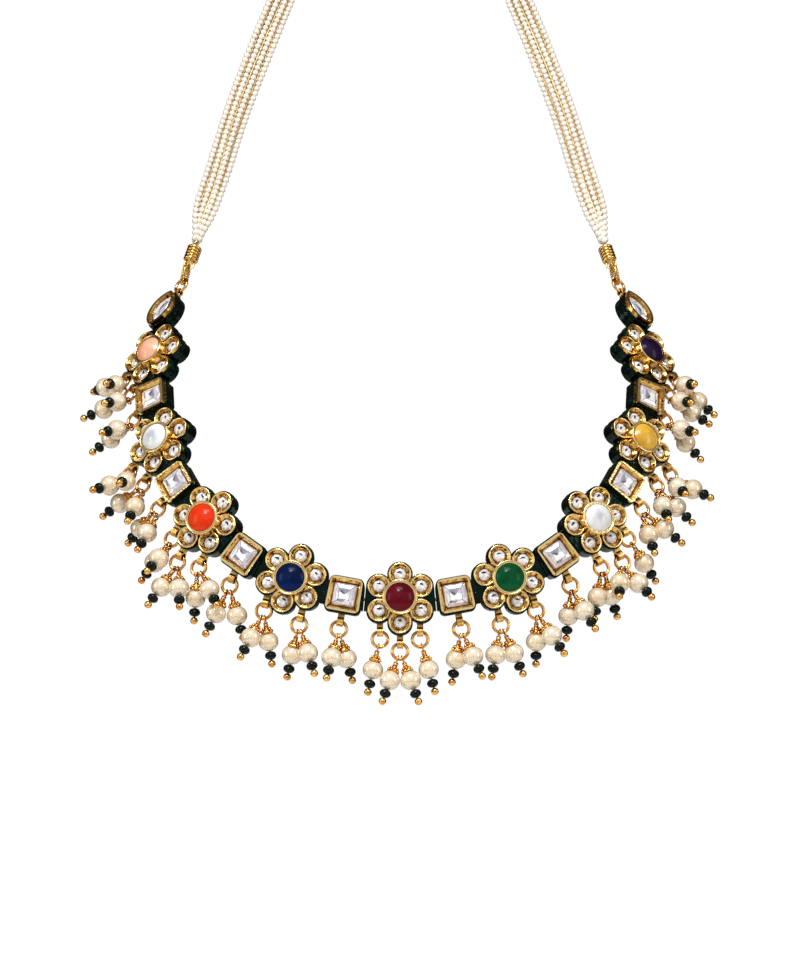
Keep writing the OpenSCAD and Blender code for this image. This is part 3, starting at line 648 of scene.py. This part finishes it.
# Middle stones
# Round cabochons, one of each of the nine stones of the set. They are polished to a high
# dome, and light sinks a little way into them.
def cabochon(name, i, side, deep, bright, heart, foot, cloud, glow, shine):
    finish, tree, stone = new_finish(name + "_finish")
    point, _, x, y, _ = link_point(tree, i, side)
    veil = add(tree, "TexNoise", ("Vector", point), ("Scale", 260), ("Detail", 4), ("Distortion", 0.6))
    share = sum_up(tree, "MULTIPLY_ADD", veil.outputs[0], cloud, 0.5 - cloud / 2, clamp=True)
    body = blend_colours(tree, share, deep, bright)
    sway = sum_up(tree, "MULTIPLY_ADD", veil.outputs[0], 2.4, -1.2)
    reach = from_middle(tree, x, y)
    middle_share = sum_up(tree, "MULTIPLY_ADD", sum_up(tree, "ADD", reach, sway), -0.55, 1.25, clamp=True)
    body = blend_colours(tree, times(tree, middle_share, heart[3]), body, heart[:3])
    # Painted light: the lower part of the dome is mixed towards a brighter foot shade, standing in for light
    # gathered where it leaves the stone.
    painted_glow_share = sum_up(tree, "MULTIPLY_ADD", sum_up(tree, "ADD", y, sway), -0.4, -0.1, clamp=True)
    body = blend_colours(tree, times(tree, painted_glow_share, foot[3]), body, foot[:3])
    tree.links.new(body, stone.inputs["Base Color"])
    stone.inputs["Roughness"].default_value = 0.16
    stone.inputs["IOR"].default_value = 1.6
    stone.inputs["Specular IOR Level"].default_value = shine
    stone.inputs["Subsurface Weight"].default_value = glow
    stone.inputs["Subsurface Scale"].default_value = 0.0008
    dress(name, finish)


# A row gives the stone, its link and side, its deep and bright shades, the shade of its heart
# and the painted glow at its foot with their shares, and then how cloudy, how milky and how shiny it is.
plain = (0, 0, 0, 0)
cabochons = [
    ("ruby", 0, 1, (0.05, 0.001, 0.004), (0.14, 0.003, 0.012),
     plain, (0.20, 0.004, 0.016, 0.5), 1.6, 0, 0.09),
    ("blue", 2, -1, (0.0003, 0.003, 0.018), (0.001, 0.013, 0.085),
     plain, (0.002, 0.02, 0.16, 0.5), 1.8, 0, 0.07),
    ("coral", 4, -1, (0.62, 0.016, 0.002), (0.78, 0.045, 0.006),
     plain, (0.86, 0.07, 0.01, 0.5), 1.0, 0.1, 0.14),
    ("green", 2, 1, (0.0004, 0.024, 0.007), (0.002, 0.095, 0.028),
     plain, (0.004, 0.16, 0.05, 0.5), 1.8, 0, 0.07),
    ("pearl_left", 6, -1, (0.72, 0.77, 0.82), (0.88, 0.90, 0.92),
     (0.38, 0.44, 0.52, 0.8), plain, 1.8, 0.2, 0.6),
    ("pearl_right", 4, 1, (0.74, 0.76, 0.78), (0.88, 0.89, 0.90),
     (0.42, 0.44, 0.50, 0.8), plain, 1.8, 0.2, 0.6),
    ("pink", 8, -1, (0.74, 0.36, 0.22), (0.88, 0.55, 0.40),
     plain, (0.86, 0.30, 0.09, 0.8), 1.4, 0.2, 0.4),
    ("yellow", 6, 1, (0.52, 0.24, 0.01), (0.88, 0.56, 0.07),
     plain, (0.92, 0.62, 0.12, 0.6), 1.8, 0.1, 0.4),
    ("purple", 8, 1, (0.003, 0.001, 0.008), (0.02, 0.006, 0.04),
     plain, (0.03, 0.008, 0.07, 0.5), 1.8, 0, 0.12),
]
for name, *values in cabochons:
    cabochon("cabochon_" + name, *values)

# The drops
# Fifty five drops hang from the jump rings, two on most of them. A headpin carries a
# gold ball, a dark green bead, a pearl and a granulated cap, and ends in a wrapped eye.
# A row gives the link, the place on its rim, and the swing and lift of each drop.
left_drops = [
    (0, 40, 13, -8),
    (1, 0, -25, -20, 2, 18),
    (2, -40, -31, 13, 3, -15),
    (2, 38, -19, -16, 12, 17),
    (3, 0, -34, -14, 4, 4),
    (4, -42, -59, 18, -16, -19),
    (4, 0, -39, 19, 1, 18),
    (4, 44, 17, -12, -10, 42),
    (5, 0, -28, 25, 22, -22),
    (6, -42, -33, 28, 30, 0),
    (6, 0, -64, 56, -5, 56),
    (7, 0, -29, 56, 10, 13),
    (8, -42, -49, 53, 17, 19),
    (8, 0, -70, 55, 60, -14),
]
right_drops = [
    (0, 0, -19, 8, 20, 5),
    (0, 40, 16, -7),
    (1, 0, -20, -14, 12, 15),
    (2, -40, -23, 6, 14, -11),
    (2, 38, -10, -18, 18, 20),
    (3, 0, -22, -21, 2, 23),
    (4, -42, -36, -3, 1, -23),
    (4, 0, -48, 34, -3, 36),
    (4, 44, 16, -17),
    (5, 0, -35, 18, 5, 20),
    (6, -42, -39, 29, 2, 20),
    (6, 0, -46, 48, 4, 42),
    (7, 0, -35, 56, 2, 4),
    (8, -42, -57, 51, -9, 25),
    (8, 0, -68, 55, -10, 20),
]
square_foot = 4.3 + 0.35
loop_lean = (0, 0, 10, 15, 20, 20, 38, 38, 42, 0)
sunk = 0.25
bail_height = -0.2
ring_at = 4.05
ring_mid_r = 1.95
pearl_at = 5.85
green_bead_at = 9.47


def petal_edge(spot):
    off = math.radians(abs((spot + 390) % 60 - 30))
    reach = petal_case_r - sunk
    return petal_at * math.cos(off) + math.sqrt(reach * reach - (petal_at * math.sin(off)) ** 2)


def turn(axis, degrees):
    return Matrix.Rotation(math.radians(degrees), 4, axis)


def loop_place(i, spot, side):
    edge = square_foot - sunk if i % 2 else petal_edge(spot)
    a = math.radians(spot)
    rimward = Vector((side * math.sin(a), -math.cos(a), 0))
    start = Matrix.Translation(rimward * edge + Vector((0, 0, bail_height)))
    scaled = link_place(i, side) @ Matrix.Scale(mm, 4)
    return scaled @ start @ turn("Z", -side * loop_lean[i]) @ turn("X", 90)


drop_places = []
for side, rows in ((-1, left_drops), (1, right_drops)):
    for row in rows:
        for k in range(2, len(row), 2):
            hang = (
                Matrix.Translation((0, 0, ring_at))
                @ turn("Y", side * row[k])
                @ Matrix.Translation((0, 0, ring_mid_r))
                @ turn("X", -row[k + 1])
            )
            drop_places.append(loop_place(row[0], row[1], side) @ hang)

dress("drop_pins", polished_gold("pin_gold", 0.18, 0.3, orange_gold))

# Granules are soldered round the rim and the shoulder of each cap, and wire is wound under the eye.
granule_r = 0.46
wrap_foot = 1.15
wrap_pitch = 0.32
wrap_r = 0.42
wrap_wire_r = 0.2
granule = bmesh.new()
bmesh.ops.create_icosphere(granule, subdivisions=2, radius=granule_r)
granule_pattern = pattern(granule)
granules = []
for place in drop_places:
    for count, reach, along_drop, size in ((8, 1.22, 3.36, 1.0), (6, 0.9, 2.68, 0.9)):
        for k in range(count):
            angle = 2 * math.pi * (k + 0.5 * size) / count
            spot = Matrix.Translation((reach * math.cos(angle), reach * math.sin(angle), along_drop))
            granules.append((granule_pattern, place @ spot @ Matrix.Scale(size, 4), None))
set_in_place("cap_granules", granules, bpy.data.materials["pin_gold"])

wrap = bmesh.new()
ring = bmesh.ops.create_circle(wrap, segments=6, radius=wrap_wire_r)["verts"]
bmesh.ops.rotate(wrap, matrix=Matrix.Rotation(math.radians(90), 3, "X"), verts=ring)
bmesh.ops.translate(wrap, vec=(wrap_r, 0, 0), verts=ring)
bmesh.ops.spin(
    wrap,
    geom=list(wrap.verts) + list(wrap.edges),
    axis=(0, 0, 1),
    angle=2 * math.pi,
    steps=14,
    use_merge=True,
)
bmesh.ops.remove_doubles(wrap, verts=wrap.verts, dist=0.001)
bmesh.ops.recalc_face_normals(wrap, faces=wrap.faces)
wrap_pattern = pattern(wrap)
wraps = []
for place in drop_places:
    for k in range(4):
        tilted = Matrix.Translation((0, 0, wrap_foot + wrap_pitch * k)) @ turn("X", 12 if k % 2 else -8)
        wraps.append((wrap_pattern, place @ tilted, None))
set_in_place("eye_wraps", wraps, bpy.data.materials["pin_gold"])


# Drop pearls
# Freshwater pearls of about five millimetres, drilled, each a little out of round, with
# a cream body, a soft white lustre and faint rose and gold tints.
def pearl_finish(name, low, high, tint, lustre):
    finish, tree, skin = new_finish(name)
    point = add(tree, "TexCoord").outputs["Object"]
    each = add(tree, "Attribute", attribute_name="shade").outputs["Fac"]
    cloud = add(tree, "TexNoise", ("Vector", point), ("Scale", 110), ("Detail", 1))
    body = blend_colours(tree, cloud.outputs[0], low, high)
    tinted = blend_colours(tree, times(tree, each, 0.6), body, tint)
    tree.links.new(tinted, skin.inputs["Base Color"])
    skin.inputs["Metallic"].default_value = lustre
    skin.inputs["Roughness"].default_value = 0.16
    skin.inputs["IOR"].default_value = 1.6
    skin.inputs["Coat Weight"].default_value = 1
    skin.inputs["Coat Roughness"].default_value = 0.03
    skin.inputs["Subsurface Weight"].default_value = 0.15
    skin.inputs["Subsurface Radius"].default_value = (1.0, 0.7, 0.45)
    skin.inputs["Subsurface Scale"].default_value = 0.0009
    return finish


pearl_cream = pearl_finish("pearl_cream", (0.84, 0.70, 0.49), (0.97, 0.90, 0.77), (0.90, 0.72, 0.46), 0.22)
dice = random.Random(7)
pearl_r = 2.5
pearls = []
for place in drop_places:
    pearl = bmesh.new()
    bmesh.ops.create_icosphere(pearl, subdivisions=4, radius=pearl_r)
    lean = Vector((dice.uniform(-1, 1), dice.uniform(-1, 1), dice.uniform(-1, 1))).normalized()
    swell = dice.uniform(0.0, 0.025)
    for v in pearl.verts:
        v.co *= 1 + swell * v.co.normalized().dot(lean) ** 3
    squash = (1 + dice.uniform(0.0, 0.05), 1 + dice.uniform(0.0, 0.04), 1 + dice.uniform(-0.05, 0.0))
    bmesh.ops.scale(pearl, vec=squash, verts=pearl.verts)
    pearls.append((pattern(pearl), place @ Matrix.Translation((0, 0, pearl_at)), dice.random()))
hanging_pearls = set_in_place("hanging_pearls", pearls, pearl_cream)
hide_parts("drop_pearls")

# Green beads
# Small pressed glass rondelles, so dark a green that only their edges show it, with a
# polished surface.
bead_glass, bead_tree, bead = new_finish("bead_glass")
bead_point = add(bead_tree, "TexCoord").outputs["Object"]
bead_cloud = add(bead_tree, "TexNoise", ("Vector", bead_point), ("Scale", 500), ("Detail", 2))
bead_tree.links.new(
    blend_colours(bead_tree, bead_cloud.outputs[0], (0.0002, 0.0015, 0.001), (0.0008, 0.010, 0.006)),
    bead.inputs["Base Color"],
)
bead.inputs["Roughness"].default_value = 0.03
bead.inputs["IOR"].default_value = 1.5
bead.inputs["Specular IOR Level"].default_value = 0.2
dress("drop_green_beads", bead_glass)
rondelle_r = 1.44
rondelle_half = 1.12
rondelle = bmesh.new()
bmesh.ops.create_uvsphere(rondelle, u_segments=20, v_segments=14, radius=1)
bmesh.ops.scale(rondelle, vec=(rondelle_r, rondelle_r, rondelle_half), verts=rondelle.verts)
rondelle_pattern = pattern(rondelle)
rondelles = []
for place in drop_places:
    rondelles.append((rondelle_pattern, place @ Matrix.Translation((0, 0, green_bead_at)), None))
hanging_rondelles = set_in_place("green_rondelles", rondelles, bead_glass)
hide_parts("drop_green_beads")

# The rings and caps of the ends
# The tip loop holds a plain ring, then a ring covered with granules, and a coiled gold
# cap that takes the ends of the strings.
end_climb = 108
end_back = 25
end_line = heading(end_climb, end_back)
leaf_side = math.radians(leaf_turn)
leaf_line = math.cos(leaf_side) * along(9) + math.sin(leaf_side) * outward(9).cross(along(9))
tip_reach = 6.8
tip_rise = 1.1
tip_at = middle(9) + tip_reach * leaf_line + tip_rise * outward(9)
tip_across = end_line.cross(outward(9).cross(leaf_line).cross(end_line)).normalized()


def end_place(side, distance, degrees):
    z = Vector((side * end_line.x, end_line.y, end_line.z))
    x = side * Vector((side * tip_across.x, tip_across.y, tip_across.z))
    turned = Matrix((x, z.cross(x), z)).transposed().to_4x4()
    start = Matrix.Translation(to_row(tip_at, side)) @ turned @ Matrix.Scale(mm, 4)
    return start @ Matrix.Translation((0, 0, distance)) @ turn("Z", side * degrees)


coil_gold = polished_gold("coil_gold", 0.2, 0.35)
for name in ("coil_cap_left", "coil_cap_right", "granulated_ring_left", "granulated_ring_right"):
    dress(name, coil_gold)
granulated_at = 5.775
granulated_r = 2.55
granulated_wire_r = 0.42
grain = bmesh.new()
bmesh.ops.create_icosphere(grain, subdivisions=1, radius=0.3)
grain_pattern = pattern(grain)
grains = []
for side in (-1, 1):
    place = end_place(side, granulated_at, 50) @ turn("X", 90)
    for row in range(4):
        tilt = math.radians(90 * row + 45)
        for k in range(24):
            angle = 2 * math.pi * (k + 0.5 * (row % 2)) / 24
            reach = granulated_r + granulated_wire_r * math.cos(tilt)
            height = granulated_wire_r * math.sin(tilt)
            spot = Vector((reach * math.cos(angle), reach * math.sin(angle), height))
            grains.append((grain_pattern, place @ Matrix.Translation(spot), None))
set_in_place("ring_grains", grains, coil_gold)

# The seed pearl strings
# Seven strings of small cream pearls run from each cap to the nape, four in front and
# three behind, with fine gold threads between them.
strand_rows = [
    (1, 0, 0, 0, 0),
    (0.985, 0.018, 0.036, 0.1, 0.1),
    (0.95, 0.07, 0.11, 0.8, 0.8),
    (0.89, 0.16, 0.22, 1, 1),
    (0.77, 0.35, 0.45, 1, 1),
    (0.57, 0.58, 0.75, 1, 1),
    (0.45, 0.75, 0.9, 0.95, 1),
    (0.31, 0.91, 0.98, 0.75, 0.9),
    (0.18, 0.995, 1, 0.25, 0.4),
    (0, 1, 1, 0, 0),
]
cap_mouth = 14.205
strand_start = tip_at + cap_mouth * end_line
strand_reach = 7 - 0.9 + 0.12
strand_back = 78
strand_up = 92
narrow_half = 1.5
wide_half = 3.7
thick_half = 1.8
seed_r = 0.85
seed_pitch = 1.72


def strand_row(k):
    return Vector(strand_rows[min(max(k, 0), 9)])


def eased(t):
    k = min(int(t), 8)
    u = t - k
    a, b, c, d = (strand_row(k + n) for n in (-1, 0, 1, 2))
    bend = 2 * a - 5 * b + 4 * c - d
    twist = 3 * b - a - 3 * c + d
    return (2 * b + u * (c - a) + u * u * bend + u * u * u * twist) / 2


def strand_point(e):
    x = strand_reach + (strand_start.x - strand_reach) * e[0]
    return Vector((x, strand_start.y + strand_back * e[1], strand_start.z + strand_up * e[2]))


strand_steps = 900
strand_marks = [eased(9 * s / strand_steps) for s in range(strand_steps + 1)]
strand_line = [strand_point(e) for e in strand_marks]
strand_sides = []
for s in range(strand_steps + 1):
    tangent = (strand_line[min(s + 1, strand_steps)] - strand_line[max(s - 1, 0)]).normalized()
    across = tangent.cross(Vector((0, 1, 0))).normalized()
    strand_sides.append((across, tangent.cross(across)))


def string_path(share_across, share_deep, wander, phase):
    points = []
    for s in range(strand_steps + 1):
        e = strand_marks[s]
        grow_w = narrow_half + (wide_half - narrow_half) * e[3]
        grow_t = narrow_half + (thick_half - narrow_half) * e[4]
        drift = wander * math.sin(phase + 9 * s / strand_steps * 2.3)
        across, up = strand_sides[s]
        points.append(
            strand_line[s]
            + across * (share_across * (grow_w - seed_r) + drift)
            + up * (share_deep * (grow_t - seed_r) + 0.5 * drift)
        )
    return points


strings = [
    (-1.0, 0.8, 0.10, 0.0),
    (-0.34, 0.9, 0.12, 1.3),
    (0.34, 0.9, 0.12, 2.9),
    (1.0, 0.8, 0.10, 4.1),
    (-0.7, -0.9, 0.12, 0.6),
    (0.0, -0.9, 0.12, 2.2),
    (0.7, -0.9, 0.12, 5.0),
]
seed_pearl = pearl_finish("seed_pearl", (0.88, 0.82, 0.72), (0.97, 0.94, 0.88), (0.92, 0.84, 0.70), 0.12)
seed = bmesh.new()
bmesh.ops.create_uvsphere(seed, u_segments=8, v_segments=6, radius=1)
seed_pattern = pattern(seed)
pale_gold = ((0.90, 0.62, 0.30), (1.0, 0.82, 0.50), (0.55, 0.30, 0.10))
thread_gold = polished_gold("thread_gold", 0.35, 0.5, pale_gold)
thread = bmesh.new()
bmesh.ops.create_cone(thread, cap_ends=False, segments=6, radius1=1, radius2=1, depth=1)
thread_pattern = pattern(thread)
threads = [
    (-0.66, 0.5, 0.5, 0.2),
    (0.02, 0.7, 1.9, 0.3),
    (0.66, 0.5, 3.3, 0.2),
]
for side, side_name in ((-1, "left"), (1, "right")):
    seeds = []
    for line in strings:
        points = string_path(*line)
        gone = 0.0
        wanted = 1.5 + dice.uniform(0, 1.2)
        for a, b in zip(points, points[1:]):
            step = (b - a).length
            while gone + step >= wanted:
                at = a.lerp(b, (wanted - gone) / step)
                if (at - points[-1]).length > 2.5:
                    size = 0.84 + dice.uniform(-0.05, 0.04)
                    axis = (b - a).normalized()
                    axis.x *= side
                    turned = axis.to_track_quat("Z", "Y").to_matrix().to_4x4()
                    spot = Matrix.Translation(to_row(at, side)) @ turned @ Matrix.Scale(mm * size, 4)
                    seeds.append((seed_pattern, spot, dice.random()))
                wanted += seed_pitch + dice.uniform(-0.05, 0.06)
            gone += step
    seed_piece = set_in_place(f"seed_pearls_{side_name}", seeds, seed_pearl)
    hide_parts(f"pearl_strands_{side_name}")

    pieces = []
    for share_across, share_deep, phase, thick in threads:
        points = string_path(share_across, share_deep, 0.2, phase)[::6]
        for a, b in zip(points, points[1:]):
            if (b - points[0]).length < 1.2 or (b - points[-1]).length < 2.5:
                continue
            start, end = to_row(a, side), to_row(b, side)
            line_turned = (end - start).to_track_quat("Z", "Y").to_matrix().to_4x4()
            size = Matrix.Diagonal((thick * mm, thick * mm, 1.15 * (end - start).length, 1))
            pieces.append((thread_pattern, Matrix.Translation((start + end) / 2) @ line_turned @ size, None))
    set_in_place(f"gold_threads_{side_name}", pieces, thread_gold)
